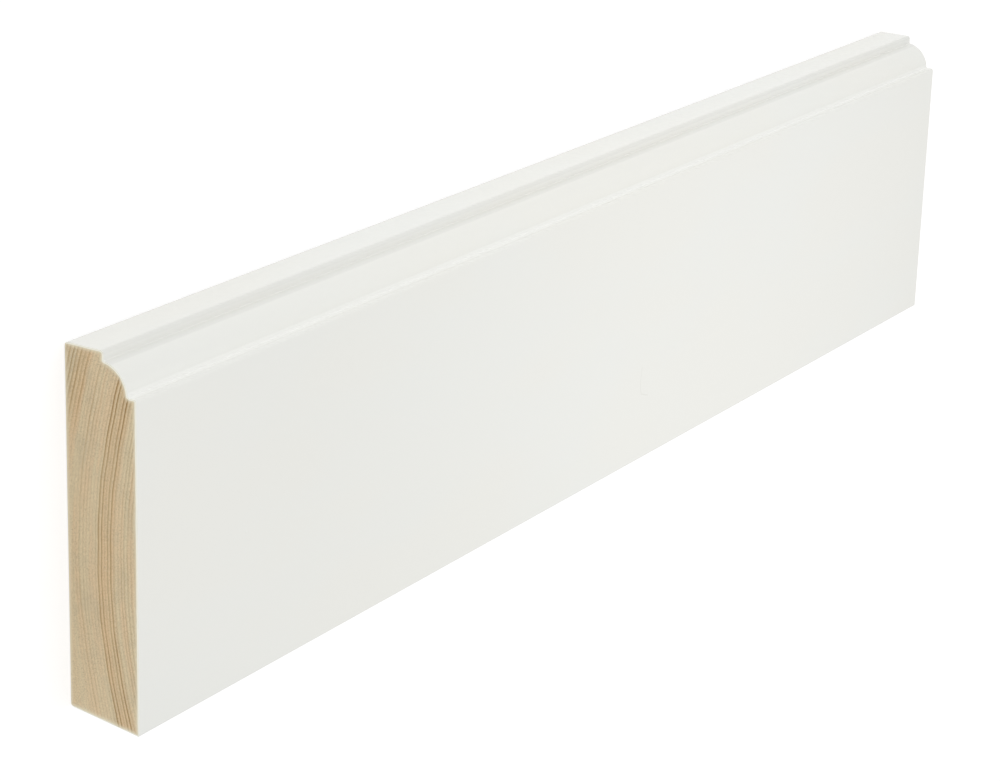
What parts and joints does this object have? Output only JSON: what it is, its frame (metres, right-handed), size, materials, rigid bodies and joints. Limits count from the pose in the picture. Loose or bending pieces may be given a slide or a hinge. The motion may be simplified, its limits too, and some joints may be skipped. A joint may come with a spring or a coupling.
{
  "type": "skirting board length",
  "caption": "Softwood skirting board length with a stepped ovolo along its top edge and a slightly bevelled bottom edge, painted on the face and edges, with bare sawn ends and a plain flat back.",
  "frame": {"origin": "middle of the flat back, which lies on the level it is stored on", "axes": "+X along the length, +Y across the board towards its moulded top edge, +Z out of the face"},
  "size_m": [0.43, 0.0949, 0.021],
  "materials": {
    "painted_pine": "satin white paint on the face, the moulded edge and the bottom edge, bare pine on the sawn ends and the planed back"
  },
  "bodies": {
    "root": {"skirting_board": "painted_pine"}
  },
  "joints": []
}
